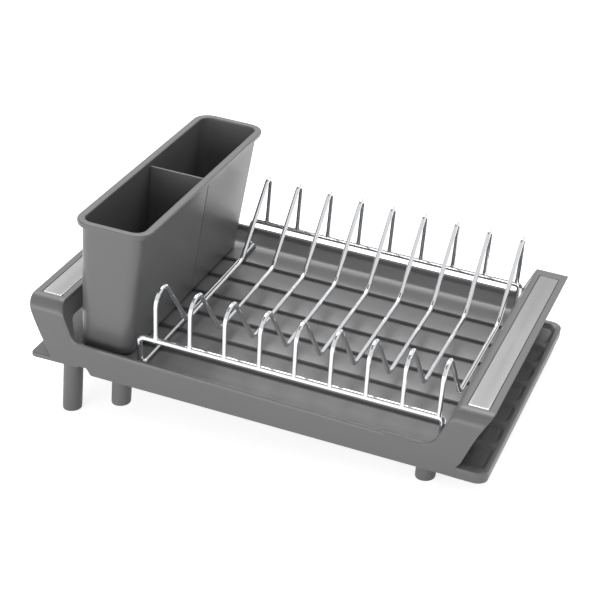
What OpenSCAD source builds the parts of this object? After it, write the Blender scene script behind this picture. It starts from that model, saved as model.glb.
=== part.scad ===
// Expandable dish rack: a tilted upper body with two bridge handles, an extension
// tray that slides out from under it, a plate rack of round wire and a utensil holder.
// Length runs along X, depth along Y, and the counter is the plane Z = 0.
// Pieces of the sloping body are drawn level, about the middle of its floor, then tilted.

/* [Body] */
// Depth of the body, front face to back face
body_depth = 286; // [276:1:300]
// Length of the body at the lower ends of its legs
body_len = 373; // [368:1:384]
// Slope of the body, lower at the right
tilt = 5.4; // [4.8:0.1:6]
// Height of the floor above the counter, at the middle of the body
floor_height = 48.2; // [47:0.2:56]
// Thickness of the floor between its grooves
floor_t = 3; // [2.4:0.2:3.4]
// Level of the floor strips above the body's datum
floor_top = 1.5; // [1.2:0.1:1.8]
// Thickness of the skirt
skirt_t = 2.4; // [2:0.1:2.8]
// Drop of the skirt below the datum
skirt_drop = 15.7; // [15.2:0.1:16.4]
// Drop of the shallow skirt at the left end
end_drop = 9.5; // [9:0.1:10.5]
// Length of the shallow skirt, from the left leg's outer end
end_len = 33.5; // [32:0.5:35]
// Height of the front wall above the datum at its left end
wall_left = 12.9; // [11.5:0.1:15]
// Height of the front wall above the datum at its right end
wall_right = 8.7; // [8:0.1:11]
// Height of the back wall above the datum
wall_back = 16.7; // [14:0.1:20]
// Width of the side wall's top edge
wall_t = 3.4; // [3:0.1:4]
// Run of the side wall's sloping inner face
wall_run = 9.6; // [7:0.2:11]

/* [Left apron] */
// Reach of the left apron beyond the leg's lower end
apron_reach = 20.5; // [16:0.5:23]
// Drop of the apron's top at its outer edge
apron_drop = 7.5; // [7:0.1:8]
// Thickness of the apron
apron_t = 3; // [2.6:0.1:3.2]
// Corner radius of the apron
apron_r = 5; // [3:0.5:8]

/* [Floor grooves] */
// Number of grooves, an even number
groove_count = 6; // [4:2:6]
// Distance between grooves
groove_pitch = 37.7; // [35:0.1:39]
// Width of a groove
groove_w = 7; // [5:0.2:8]
// Depth of a groove
groove_depth = 2.8; // [2:0.1:3]
// Plain floor left beyond the right end of the grooves
groove_end = 21; // [15:1:30]

/* [Handles] */
// Width of a handle
grip_w = 31; // [29:0.5:33]
// Height of the handles' tops above the datum
grip_top = 47.1; // [44:0.1:52]
// Height of the handle bar
grip_h = 16; // [13:0.5:17]
// Thickness of a leg under the handle bar, along the depth
leg_t = 11; // [10:0.5:12]
// Thickness of a leg at the side wall, along the depth
leg_low = 5; // [4:0.25:6]
// How far a handle leans out beyond the leg's lower end
lean_out = 24; // [21:0.5:26]
// Outer bend radius between the handle bar and its front leg
bend_r = 13; // [10:0.5:15]
// Outer bend radius between the handle bar and its back leg
bend_back = 5; // [3:0.5:8]
// Inner corner radius under the handle bar
under_r = 6; // [4:0.5:8]
// Radius between a leg and the side wall
leg_fillet = 12; // [9:0.5:14]
// Wall of the hollow handle bar
grip_wall = 3.2; // [2.8:0.1:3.6]

/* [Inlays] */
// Width of the metal inlay in a handle
inlay_w = 18.2; // [15:0.2:20]
// Plain plastic beyond each end of an inlay
inlay_end = 15; // [13.5:0.5:20]
// Thickness of an inlay
inlay_t = 1.2; // [0.8:0.1:1.5]
// Gap round an inlay
inlay_gap = 0.3; // [0.2:0.05:0.5]
// Corner radius of an inlay
inlay_r = 2; // [1:0.25:3]

/* [Tray] */
// Level of the tray's rim below the datum
tray_top = 5.5; // [5.2:0.1:5.9]
// Level of the tray's underside below the datum
tray_bottom = 16.4; // [16:0.1:16.8]
// Reach of the tray's end beyond the right end of the body
tray_reach = 26.5; // [24:0.5:30]
// Distance from the step of the skirt to the tray's left end
tray_start = 1; // [0.5:0.5:4]
// Gap between the tray and the skirt
tray_gap = 0.6; // [0.5:0.1:1]
// Corner radius of the tray's end
corner_r = 11; // [8:0.5:13]
// Width of the tray's rim
rim_w = 4; // [3:0.25:5]
// Thickness of the tray's floor
tray_floor = 2.6; // [2.2:0.1:3]
// Depth of the tray's channels
channel_depth = 4.5; // [3.5:0.1:5]
// Width of a ridge between channels
ridge_w = 3; // [2:0.25:5]
// Travel of the tray
tray_travel = 130; // [100:5:150]

/* [Runners] */
// Height of a runner rib
runner_h = 1.6; // [1.4:0.1:2]
// Depth of a runner rib
runner_d = 2; // [1.6:0.1:2.2]
// Level of the runner ribs below the datum
runner_drop = 11.5; // [11.2:0.1:12]
// Gap above and below a runner rib
runner_gap = 0.3; // [0.25:0.05:0.4]
// Length of a runner rib
runner_len = 60; // [50:5:60]

/* [Feet] */
// Diameter of a foot
foot_d = 17.8; // [16:0.2:20]
// Distance from the body's face to a foot's axis
foot_inset = 17; // [16:0.5:22]
// Distance from the body's left end to its feet
body_foot_in = 14; // [13:0.5:16]
// Distance from the tray's left end to its left feet
tray_foot_left = 21; // [16:0.5:30]
// Distance from the body's right end to the tray's right feet
tray_foot_right = 28; // [22:0.5:36]
// Height of the tray's left feet above the counter with the tray in
tray_foot_rise = 15.4; // [13:0.2:18]

/* [Plate rack] */
// Number of plate wires
wire_count = 9; // [5:1:9]
// Diameter of a plate wire
wire_d = 4.2; // [3.4:0.1:4.6]
// Diameter of the two rails
rail_d = 5.5; // [5:0.1:6]
// Diameter of the end wires
end_wire_d = 4; // [3.6:0.1:4.4]
// Height of the rails above the datum
rail_h = 30.4; // [29:0.1:36]
// Distance from the body's face to a rail's axis
rail_inset = 11.8; // [11.4:0.1:14]
// How far the rack's legs lean in towards the floor
rail_lean_in = 4.2; // [3:0.1:6]
// Bend radius of a rail above its left leg
rail_bend_r = 6.5; // [5:0.25:7]
// Bend radius of a rail above its right leg
rail_bend_right = 4.5; // [4:0.25:5]
// Distance from the first plate wire to the rack's left legs
rack_end_left = 15.5; // [10:0.5:18]
// Distance from the last plate wire to the rack's right legs
rack_end_right = 3.7; // [3.4:0.1:6]
// Distance from the body's right end to the rack's right legs
rack_in = 18.8; // [18.5:0.1:24]
// Distance from the holder's base to the rack's left legs
rack_gap = 12; // [11:0.5:18]
// Height of the end wires above the datum
end_wire_h = 4.7; // [4.3:0.1:8]
// Height of the front arch above the datum
front_peak = 78.1; // [70:0.1:86]
// Radius of the front arch
front_r = 12.8; // [10:0.1:16]
// How far the front uprights lean out beyond the front rail
front_lean = 3.4; // [0:0.1:5]
// Distance behind the front rail of the low point of a wire
dip_back = 68; // [60:0.5:76]
// Height of the corner at the low point above the datum
dip_h = 16.7; // [14:0.1:22]
// Radius at the low point
dip_r = 14; // [5:0.5:17]
// Distance in front of the back rail of the rear bend of a wire
rise_front = 64; // [56:0.5:72]
// Height of the corner at the rear bend above the datum
rise_h = 17.6; // [15:0.1:23]
// Radius of the rear bend
rise_r = 20; // [14:0.5:26]
// Height of the rear arch above the datum
back_peak = 80.8; // [72:0.2:88]
// Radius of the rear arch
back_r = 6.1; // [5:0.1:8]

/* [Utensil holder] */
// Height of the holder's rim above the datum
holder_top = 128.5; // [100:0.5:148]
// Width of the holder at its base
holder_base_w = 49; // [44:0.5:50]
// Width of the holder below its rim
holder_top_w = 61; // [58:0.5:62]
// Distance from the body's faces to the holder at its base
holder_base_in = 17; // [14:0.5:24]
// Distance from the body's faces to the holder below its rim
holder_top_in = 9.5; // [8.5:0.5:16]
// Distance from the left edge of the floor to the holder
holder_left_in = 1.5; // [1:0.25:3]
// Corner radius of the holder
holder_r = 12; // [8:0.5:14]
// Wall of the holder
holder_wall = 2.4; // [2:0.1:3]
// Reach of the holder's rim beyond its wall
rim_out = 4.5; // [3:0.25:5]
// Depth of the holder's rim
rim_h = 5; // [4:0.25:7]
// Distance of the divider behind the middle of the holder
divider_back = 8; // [0:1:30]
// Thickness of the divider
divider_t = 2; // [1.6:0.1:2.6]
// Distance of the divider's top below the rim
divider_down = 5; // [2:0.5:10]

/* [Hidden] */
seat_gap = 0.3;
slack = 1;
big = 800;
half_d = body_depth / 2;
half_l = body_len / 2;
// handle band, leaning out as it rises
lean_rise = grip_top + end_drop;
lean = lean_out / lean_rise;
grip_out = half_l + lean_out;
grip_in = grip_out - grip_w;
inlay_shift = 0.6;
inlay_mid = grip_out - grip_w / 2 - inlay_shift;
inlay_len = body_depth - 2 * inlay_end;
under_top = grip_top - grip_h;
wall_level = 36;
// floor
floor_in = 16.5;
floor_left = -half_l + floor_in;
floor_under = floor_top - floor_t;
groove_floor = floor_top - groove_depth;
groove_start = 8;
channel_w = groove_w + 4;
channel_over = 3;
channel_under = groove_floor - 2.4;
groove_first = -(groove_count - 1) / 2 * groove_pitch;
wall_foot = half_d - wall_t - wall_run;
step_run = 6.5;
step_u = -half_l + end_len;
step_end = step_u + step_run;
step_round = 1.2;
skirt_in = half_d - skirt_t;
// feet
foot_v = half_d - foot_inset;
body_foot_u = -half_l + body_foot_in;
// apron
apron_end = -half_l - apron_reach;
apron_in = body_foot_u + foot_d / 2 + slack;
apron_low = end_drop + 2.5;
// tray
end_gap = 0.5;
tray_half = skirt_in - tray_gap;
tray_left = step_end + tray_start;
tray_right = half_l + tray_reach;
tray_wide = half_l + end_gap;
channel_floor = -tray_top - slack - channel_depth;
channel_left = tray_left + rim_w;
channel_right = tray_right - rim_w;
runner_in = 4.5;
runner_apart = 162;
runner_right = half_l - runner_in - runner_len;
runner_left = runner_right - runner_apart;
slot_left = runner_left - tray_travel - slack / 2;
slot_right = runner_right + runner_len + slack / 2;
slot_depth = runner_d + 0.4;
slot_wall = 2.4;
hollow_half = tray_half - slot_depth - slot_wall;
tray_foot_u0 = tray_left + tray_foot_left;
tray_foot_u1 = half_l - tray_foot_right;
// plate rack
rail_v = half_d - rail_inset;
holder_u0 = floor_left + holder_left_in;
rack_u0 = holder_u0 + holder_base_w + rack_gap;
rack_u1 = half_l - rack_in;
wire_first = rack_u0 + rack_end_left;
wire_pitch = (rack_u1 - rack_end_right - wire_first) / (wire_count - 1);
rail_drop = rail_h - floor_top - seat_gap;
rail_lean = atan(rail_lean_in / rail_drop);
rail_leg = (rail_drop - rail_d / 2 * sin(rail_lean)) / cos(rail_lean);
end_wire_in = (rail_d + end_wire_d) / 2;
end_wire_v = rail_v - rail_lean_in + slack / 2;
leg_v = rail_v - (rail_h - end_wire_h) * tan(rail_lean);
butt_v = leg_v - rail_d / 2 / cos(rail_lean) - end_wire_d / 2 * tan(rail_lean);
// utensil holder
holder_bottom = floor_top + seat_gap;
base_half = half_d - holder_base_in;
top_half = half_d - holder_top_in;
divider_low = holder_bottom + holder_wall + seat_gap;
divider_high = holder_top - divider_down;
divider_gap = 0.3;
// swelling where a straight and a bend of a wire meet
weld = 1.012;
// middle of the whole rack along the length, which the origin lies under
box_mid = (max(level_x(grip_out, grip_top), level_x(tray_right, -tray_top))
           + min(level_x(apron_end, -apron_low), level_x(-grip_out, grip_top))) / 2;
grey = [0.36, 0.37, 0.38];
dark_grey = [0.33, 0.34, 0.35];

// place along the length of a level-drawing point, once tilted
function level_x(u, w) = u * cos(tilt) + w * sin(tilt);

// from the level drawing to the sloping body on its feet
module sloped() translate([-box_mid, 0, floor_height]) rotate([0, tilt, 0]) children();

module both_sides() {
    children();
    mirror([0, 1, 0]) children();
}

// profile in the depth and height plane, drawn along the length from u0 to u1
module along(u0, u1) translate([u0, 0, 0]) rotate([90, 0, 90]) linear_extrude(u1 - u0) children();

// profile in the length and height plane, drawn through the depth from v0 to v1
module through(v0, v1) translate([0, v1, 0]) rotate([90, 0, 0]) linear_extrude(v1 - v0) children();

module block(u0, u1, v0, v1, w0, w1) translate([u0, v0, w0]) cube([u1 - u0, v1 - v0, w1 - w0]);

module round_rect(u0, u1, v0, v1, r) {
    translate([u0 + r, v0]) square([u1 - u0 - 2 * r, v1 - v0]);
    translate([u0, v0 + r]) square([u1 - u0, v1 - v0 - 2 * r]);
    for (u = [u0 + r, u1 - r]) for (v = [v0 + r, v1 - r]) translate([u, v]) circle(r, $fn = 48);
}

// floor with its grooves, the grooves backed by channels underneath
module floor_plate() difference() {
    union() {
        block(floor_left, half_l, -wall_foot - 2, wall_foot + 2, floor_under, floor_top);
        for (i = [0 : groove_count - 1])
            block(floor_left + channel_over, half_l - groove_end + channel_over,
                  groove_first + i * groove_pitch - channel_w / 2,
                  groove_first + i * groove_pitch + channel_w / 2, channel_under, floor_under + slack);
    }
    for (i = [0 : groove_count - 1]) translate([0, 0, groove_floor]) linear_extrude(big)
        round_rect(floor_left + groove_start, half_l - groove_end, groove_first + i * groove_pitch - groove_w / 2,
                   groove_first + i * groove_pitch + groove_w / 2, groove_w / 2 * 0.86);
}

// side wall and skirt at the front, its top going from one height at the left to another;
// its inner face slopes up to the front wall's height and stands upright above that
module side_wall(top_left, top_right) difference() {
    along(-half_l, half_l) polygon(concat(
        [[-half_d, -skirt_drop], [-half_d + skirt_t, -skirt_drop], [-half_d + skirt_t, floor_under],
         [-wall_foot, floor_under], [-wall_foot, floor_top], [-half_d + wall_t, wall_left]],
        top_left > wall_left ? [[-half_d + wall_t, top_left]] : [],
        [[-half_d, top_left]]));
    through(-half_d - slack, 0) polygon([
        [-half_l - slack, top_left], [-half_l + wall_level, top_left],
        [half_l - wall_level, top_right],
        [half_l + slack, top_right], [half_l + slack, big], [-half_l - slack, big]]);
    through(-half_d - slack, 0) polygon([
        [-half_l - slack, -big], [-half_l - slack, -end_drop], [step_u, -end_drop],
        [step_u + step_round, -end_drop - step_round / 2],
        [step_end - step_round, -skirt_drop + step_round / 2], [step_end, -skirt_drop],
        [step_end, -big]]);
}

// point of the circle about c, of radius r, where a line from point p touches it
function touch_point(c, r, p) = let (a = angle_of(p - c) + acos(r / norm(p - c))) c + r * [cos(a), sin(a)];

// inverted U of a handle, seen along the length; its legs thin towards the side wall
module handle_profile() let (
    c = [half_d - leg_t - under_r, under_top - under_r],
    low = [half_d - leg_low, wall_left],
    back = [half_d - leg_low, wall_back],
    t = touch_point(c, under_r, low),
    t_back = touch_point(c, under_r, back)) difference() {
    union() {
        translate([-half_d, floor_under]) square([body_depth, grip_top - bend_r - floor_under]);
        translate([-half_d + bend_r, floor_under])
            square([body_depth - bend_r - bend_back, grip_top - floor_under]);
        translate([0, floor_under]) square([half_d, grip_top - bend_back - floor_under]);
        translate([-half_d + bend_r, grip_top - bend_r]) circle(bend_r, $fn = 64);
        translate([half_d - bend_back, grip_top - bend_back]) circle(bend_back, $fn = 64);
    }
    polygon([[-low[0], -big], [-low[0], low[1]], [-t[0], t[1]], t_back, back, [back[0], -big]]);
    translate([-c[0], c[1]]) square([2 * c[0], under_r]);
    for (v = [-c[0], c[0]]) translate([v, c[1]]) circle(under_r, $fn = 48);
}

// leaning band of the right handle, seen from the front, inset on both sides
module leaning_band(inset = 0) polygon([
    [grip_in + inset, grip_top + slack * lean], [grip_out - inset, grip_top + slack * lean],
    [half_l - inset, -end_drop], [half_l - inset, -big / 4],
    [half_l - grip_w + inset - lean, -big / 4], [half_l - grip_w + inset, -end_drop]]);

// web that rounds the corner between a right leg and the side wall's top
module leg_web(rise) let (
    b = [grip_in - lean * (grip_top - rise), rise],
    a = b - [1, 0],
    c = b + [lean, 1],
    level_end = fillet_start(a, b, c, leg_fillet),
    leg_end = fillet_start(c, b, a, leg_fillet)) difference() {
    polygon([level_end, level_end - [0, slack], b + [slack, -slack], leg_end + [slack, 0], leg_end]);
    translate(fillet_centre(a, b, c, leg_fillet)) circle(leg_fillet, $fn = 96);
}

module right_handle(rise, rise_back) {
    difference() {
        intersection() {
            along(0, big) handle_profile();
            through(-half_d - slack, half_d + slack) leaning_band();
        }
        intersection() {
            block(0, big, -half_d + leg_t + under_r, half_d - leg_t - under_r,
                  under_top - slack, grip_top - grip_wall - inlay_t);
            through(-half_d, half_d) leaning_band(grip_wall);
        }
        translate([0, 0, grip_top - inlay_t]) linear_extrude(big)
            round_rect(inlay_mid - inlay_w / 2 - inlay_gap, inlay_mid + inlay_w / 2 + inlay_gap,
                       -inlay_len / 2 - inlay_gap, inlay_len / 2 + inlay_gap, inlay_r);
    }
    through(-half_d, -half_d + wall_t) leg_web(rise);
    through(half_d - wall_t, half_d) leg_web(rise_back);
}

// apron beyond the left end of the floor, with a turned-down edge
module apron() difference() {
    intersection() {
        through(-half_d, half_d) polygon([
            [apron_end, -apron_drop], [-half_l - 2 * slack, -end_drop + apron_t],
            [apron_in, -end_drop + apron_t], [apron_in, -end_drop], [-half_l, -end_drop],
            [apron_end + apron_t, -apron_low], [apron_end, -apron_low]]);
        translate([0, 0, -big / 2]) linear_extrude(big)
            round_rect(apron_end, apron_in + apron_r, -half_d, half_d, apron_r);
    }
    block(apron_in, big, -big, big, -big, big);
}

// wall that joins the apron to the floor, on the holder's left
module apron_riser()
    block(floor_left, apron_in, -half_d + skirt_t / 2, half_d - skirt_t / 2, -end_drop, floor_top);

module runner(v_in) for (u = [runner_left, runner_right])
    block(u, u + runner_len, -skirt_in - skirt_t / 2, v_in, -runner_drop, -runner_drop + runner_h);

module body() color(grey) sloped() {
    floor_plate();
    side_wall(wall_left, wall_right);
    mirror([0, 1, 0]) side_wall(wall_back, wall_back);
    both_sides() runner(-skirt_in + runner_d);
    right_handle(wall_right, wall_back);
    mirror([1, 0, 0]) right_handle(wall_left, wall_back);
    apron();
    apron_riser();
}

module inlay(side) color([0.8, 0.8, 0.8]) sloped() mirror([side < 0 ? 1 : 0, 0, 0])
    translate([0, 0, grip_top - inlay_t]) linear_extrude(inlay_t)
        round_rect(inlay_mid - inlay_w / 2, inlay_mid + inlay_w / 2,
                   -inlay_len / 2, inlay_len / 2, inlay_r - inlay_gap);

// round foot square to the body's underside at level -drop, cut level at height z0
module foot(u, v, drop, z0) color(dark_grey) difference() {
    sloped() translate([u, v, -drop - big / 8]) cylinder(h = big / 8, d = foot_d, $fn = 64);
    block(-big, big, -big, big, -big, z0);
}

// tray: rim, channels, side slots for the runner ribs, and a hollow underside
module tray_plan() {
    round_rect(tray_left, tray_right - corner_r, -tray_half, tray_half, 2);
    round_rect(tray_wide, tray_right, -half_d, half_d, corner_r);
    translate([tray_wide, -half_d]) square([corner_r, body_depth]);
}

module tray_channel(v0, v1) translate([0, 0, channel_floor]) linear_extrude(big)
    round_rect(channel_left, channel_right, v0, v1, 8);

module tray() color(dark_grey) sloped() difference() {
    translate([0, 0, -tray_bottom]) linear_extrude(tray_bottom - tray_top) tray_plan();
    block(channel_left, channel_right, -tray_half + rim_w, tray_half - rim_w, -tray_top - slack, big);
    for (i = [0 : groove_count]) {
        v0 = i == 0 ? -tray_half + rim_w : groove_first + (i - 1) * groove_pitch + ridge_w / 2;
        v1 = i == groove_count ? tray_half - rim_w : groove_first + i * groove_pitch - ridge_w / 2;
        tray_channel(v0, v1);
    }
    block(channel_left, channel_right, -hollow_half, hollow_half, -big, channel_floor - tray_floor);
    both_sides() block(slot_left, slot_right, -tray_half - slack, -tray_half + slot_depth,
                       -runner_drop - runner_gap, -runner_drop + runner_h + runner_gap);
}

// rod between two points of the depth and height plane
module rod(p, q, d) let (s = q - p) translate([0, p[0], p[1]])
    rotate([atan2(-s[0], s[1]), 0, 0]) cylinder(h = norm(s), d = d, $fn = 32);

// bend of a rod about centre c, from angle a0 over the angle sweep
module bend(c, r, a0, sweep, d) translate([0, c[0], c[1]]) rotate([90, 0, 90])
    rotate([0, 0, a0]) rotate_extrude(angle = sweep, $fn = 96) translate([r, 0]) circle(d = d, $fn = 32);

// point where a fillet of radius r at corner b starts, and the fillet's centre
function unit(p) = p / norm(p);
function half_turn(a, b, c) = acos(unit(a - b) * unit(c - b)) / 2;
function fillet_start(a, b, c, r) = b + unit(a - b) * r / tan(half_turn(a, b, c));
function fillet_centre(a, b, c, r) = b + unit(unit(a - b) + unit(c - b)) * r / sin(half_turn(a, b, c));
function angle_of(p) = atan2(p[1], p[0]);
function wrapped(a) = a > 180 ? a - 360 : a < -180 ? a + 360 : a;

// bent rod along the corners pts, with a radius for each inner corner
module bent_rod(pts, radii, d) let (n = len(pts)) {
    starts = [for (i = [1 : n - 2]) fillet_start(pts[i - 1], pts[i], pts[i + 1], radii[i - 1])];
    ends = [for (i = [1 : n - 2]) fillet_start(pts[i + 1], pts[i], pts[i - 1], radii[i - 1])];
    mids = [for (i = [1 : n - 2]) fillet_centre(pts[i - 1], pts[i], pts[i + 1], radii[i - 1])];
    for (i = [0 : n - 2]) rod(i == 0 ? pts[0] : ends[i - 1], i == n - 2 ? pts[n - 1] : starts[i], d);
    for (p = concat(starts, ends)) translate([0, p[0], p[1]]) sphere(d = d * weld, $fn = 32);
    for (i = [0 : n - 3]) let (
        a0 = angle_of(starts[i] - mids[i]),
        turn = wrapped(angle_of(ends[i] - mids[i]) - a0))
        bend(mids[i], radii[i], turn > 0 ? a0 : a0 + turn, abs(turn), d);
}

// corner above an arch about c: the lines from points p and q that touch it meet there
function touch_way(c, r, p, side) = let (a = angle_of(p - c) + side * acos(r / norm(p - c))) [cos(a), sin(a)];
function arch_corner(c, r, p, q, side) = let (
    m = touch_way(c, r, p, -side),
    n = touch_way(c, r, q, side)) c + r * (m + n) / (1 + m * n);

// corners of a plate wire, from the front rail to the back rail
front_dip = [-rail_v + dip_back, dip_h];
rear_bend = [rail_v - rise_front, rise_h];
front_foot = [-rail_v, rail_h + rail_d / 2];
back_foot = [rail_v, rail_h + rail_d / 2];
front_mid = [-rail_v - front_lean + front_r, front_peak - front_r];
back_mid = [rail_v - back_r, back_peak - back_r];
wire_pts = [
    front_foot, arch_corner(front_mid, front_r, front_foot, front_dip, 1), front_dip,
    rear_bend, arch_corner(back_mid, back_r, back_foot, rear_bend, -1), back_foot];

module plate_wire(i) color("silver") sloped() translate([wire_first + wire_pitch * (i - 1), 0, 0])
    bent_rod(wire_pts, [front_r, dip_r, rise_r, back_r], wire_d);

// rail whose ends bend down into the rack's legs, in a plane that leans in towards the floor
module rail(side) color("silver") sloped()
    translate([0, side * rail_v, rail_h]) rotate([-side * rail_lean, 0, 0]) rotate([0, 0, -90])
        bent_rod([[rack_u0, -rail_leg], [rack_u0, 0], [rack_u1, 0], [rack_u1, -rail_leg]],
                 [rail_bend_r, rail_bend_right], rail_d);

// straight end wire, welded to two legs, reaching to v on both sides
module end_wire(u, v) color("silver") sloped() translate([u, 0, 0])
    rod([-v, end_wire_h], [v, end_wire_h], end_wire_d);

// upright rounded block, from the base plan to the plan at height w1, grown by inset
module holder_block(w0, w1, grow) hull() {
    translate([0, 0, w0]) linear_extrude(0.01) holder_plan(0, grow);
    translate([0, 0, w1]) linear_extrude(0.01) holder_plan(1, grow);
}

// plan of the holder at its base (0) or below its rim (1)
module holder_plan(k, grow) let (
    wide = k == 0 ? holder_base_w : holder_top_w,
    half = k == 0 ? base_half : top_half)
    translate([holder_u0 - grow, -half - grow]) hull()
        for (u = [holder_r + grow, wide + grow - holder_r]) for (v = [holder_r + grow, 2 * half + grow - holder_r])
            translate([u, v]) circle(holder_r + grow, $fn = 48);

module utensil_holder() color(grey) sloped() {
    difference() {
        union() {
            holder_block(holder_bottom, holder_top - 0.01, 0);
            translate([0, 0, holder_top - rim_h]) linear_extrude(rim_h) holder_plan(1, rim_out);
        }
        holder_block(holder_bottom + holder_wall, holder_top + slack, -holder_wall);
        translate([0, 0, holder_top - rim_h - slack]) linear_extrude(rim_h + slack - holder_wall)
            difference() {
                holder_plan(1, rim_out - holder_wall);
                holder_plan(1, 0);
            }
    }
}

module utensil_divider() color(grey) sloped() intersection() {
    block(-big, big, divider_back - divider_t / 2, divider_back + divider_t / 2, divider_low, divider_high);
    holder_block(holder_bottom + holder_wall, holder_top + slack, -holder_wall - divider_gap);
}

body();
inlay(-1);  // inlay_left
inlay(1);  // inlay_right
foot(body_foot_u, -foot_v, end_drop, 0);  // body_foot_front
foot(body_foot_u, foot_v, end_drop, 0);  // body_foot_back
tray();
foot(tray_foot_u0, -foot_v, tray_bottom, tray_foot_rise);  // tray_foot_left_front
foot(tray_foot_u0, foot_v, tray_bottom, tray_foot_rise);  // tray_foot_left_back
foot(tray_foot_u1, -foot_v, tray_bottom, 0);  // tray_foot_right_front
foot(tray_foot_u1, foot_v, tray_bottom, 0);  // tray_foot_right_back
rail(-1);  // rack_front_rail
rail(1);  // rack_back_rail
end_wire(rack_u0 + end_wire_in, end_wire_v);  // rack_left_end
end_wire(rack_u1, butt_v);  // rack_right_end
plate_wire(1);  // plate_wire_1
plate_wire(2);  // plate_wire_2
plate_wire(3);  // plate_wire_3
plate_wire(4);  // plate_wire_4
plate_wire(5);  // plate_wire_5
plate_wire(6);  // plate_wire_6
plate_wire(7);  // plate_wire_7
plate_wire(8);  // plate_wire_8
plate_wire(9);  // plate_wire_9
utensil_holder();
utensil_divider();
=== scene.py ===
import math

import bmesh
import bpy
import numpy as np
from mathutils import Matrix, Vector


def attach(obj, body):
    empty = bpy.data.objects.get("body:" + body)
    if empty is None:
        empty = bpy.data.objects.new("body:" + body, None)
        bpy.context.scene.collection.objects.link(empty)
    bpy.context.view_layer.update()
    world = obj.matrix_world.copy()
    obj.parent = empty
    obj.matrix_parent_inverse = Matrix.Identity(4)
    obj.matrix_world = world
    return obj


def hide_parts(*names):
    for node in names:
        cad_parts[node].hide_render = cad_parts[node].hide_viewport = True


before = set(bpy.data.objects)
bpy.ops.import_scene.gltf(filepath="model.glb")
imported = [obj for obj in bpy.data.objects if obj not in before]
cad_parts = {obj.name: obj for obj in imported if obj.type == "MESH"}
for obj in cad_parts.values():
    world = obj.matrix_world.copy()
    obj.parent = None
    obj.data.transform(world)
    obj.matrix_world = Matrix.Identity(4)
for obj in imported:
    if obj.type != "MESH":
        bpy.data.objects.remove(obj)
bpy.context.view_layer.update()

# Every shape is worked out in millimetres on the level body: u runs along the length,
# v along the depth and w up from the floor's datum. toRow tilts it onto its feet.
level = dict(
    tilt=5.4, floorHeight=48.2, halfDepth=143.0, halfLen=186.5,
    gripTop=47.1, gripWidth=31.0, leanOut=24.0, endDrop=9.5,
    trayReach=26.5, trayTop=5.5, apronEnd=-207.0, apronLow=12.0)


def levelX(u, w):
    # Length along the counter: u times the cosine of the tilt plus w times its sine.
    t = math.radians(level["tilt"])
    return u * math.cos(t) + w * math.sin(t)


gripOut = level["halfLen"] + level["leanOut"]
gripIn = gripOut - level["gripWidth"]
lean = level["leanOut"] / (level["gripTop"] + level["endDrop"])
# The box ends at a handle's top edge or at the tray's end on the right, at the apron on the left.
trayTip = levelX(level["halfLen"] + level["trayReach"], -level["trayTop"])
apronTip = levelX(level["apronEnd"], -level["apronLow"])
boxMid = (max(levelX(gripOut, level["gripTop"]), trayTip)
          + min(apronTip, levelX(-gripOut, level["gripTop"]))) / 2


def toRow(p):
    # Turn by the tilt about the depth axis, lift to the floor's height, millimetres to metres.
    t = math.radians(level["tilt"])
    p = np.asarray(p, float)
    x = levelX(p[..., 0], p[..., 2]) - boxMid
    z = level["floorHeight"] - p[..., 0] * math.sin(t) + p[..., 2] * math.cos(t)
    return np.stack([x, p[..., 1], z], -1) / 1000


def smooth(t):
    # Cubic ease, three t squared less two t cubed, held to 0 and 1 outside.
    t = np.clip(t, 0.0, 1.0)
    return t * t * (3 - 2 * t)


def joined(*parts):
    # Runs of numbers set end to end, with repeats dropped.
    return np.unique(np.round(np.concatenate([np.atleast_1d(p) for p in parts]), 5))


# Meshes

def gridFaces(n, m, loopRows, loopCols, start):
    # Each cell of an n by m grid is a quad of four neighbouring numbers; a loop wraps to the first.
    i = np.arange(n if loopRows else n - 1)
    j = np.arange(m if loopCols else m - 1)
    a, b = np.meshgrid(i, j, indexing="ij")
    a2, b2 = (a + 1) % n, (b + 1) % m
    return (np.stack([a * m + b, a2 * m + b, a2 * m + b2, a * m + b2], -1) + start).reshape(-1, 4)


def makePiece(name, parts, material, body, nodes, sharp=38.0, weld=1e-6):
    # parts are grids (points, loopRows, loopCols, caps); caps closes the first and last row. Points
    # closer than weld metres are joined, and edges sharper than sharp degrees stay sharp.
    points, faces, count = [], [], 0
    for grid, loopRows, loopCols, caps in parts:
        n, m = grid.shape[:2]
        points.append(grid.reshape(-1, 3))
        faces.extend(gridFaces(n, m, loopRows, loopCols, count).tolist())
        if caps:
            faces.append(list(range(count, count + m)))
            faces.append(list(range(count + (n - 1) * m, count + n * m))[::-1])
        count += n * m
    mesh = bpy.data.meshes.new(name)
    mesh.from_pydata(np.concatenate(points).tolist(), [], faces)
    work = bmesh.new()
    work.from_mesh(mesh)
    bmesh.ops.remove_doubles(work, verts=work.verts, dist=weld)
    bmesh.ops.dissolve_degenerate(work, edges=work.edges, dist=weld / 2)
    bmesh.ops.recalc_face_normals(work, faces=work.faces)
    limit = math.radians(sharp)
    for edge in work.edges:
        edge.smooth = not (len(edge.link_faces) == 2 and edge.calc_face_angle() > limit)
    for face in work.faces:
        face.smooth = True
    work.to_mesh(mesh)
    work.free()
    piece = bpy.data.objects.new(name, mesh)
    bpy.context.scene.collection.objects.link(piece)
    piece.data.materials.append(material)
    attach(piece, body)
    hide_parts(*nodes)


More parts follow.
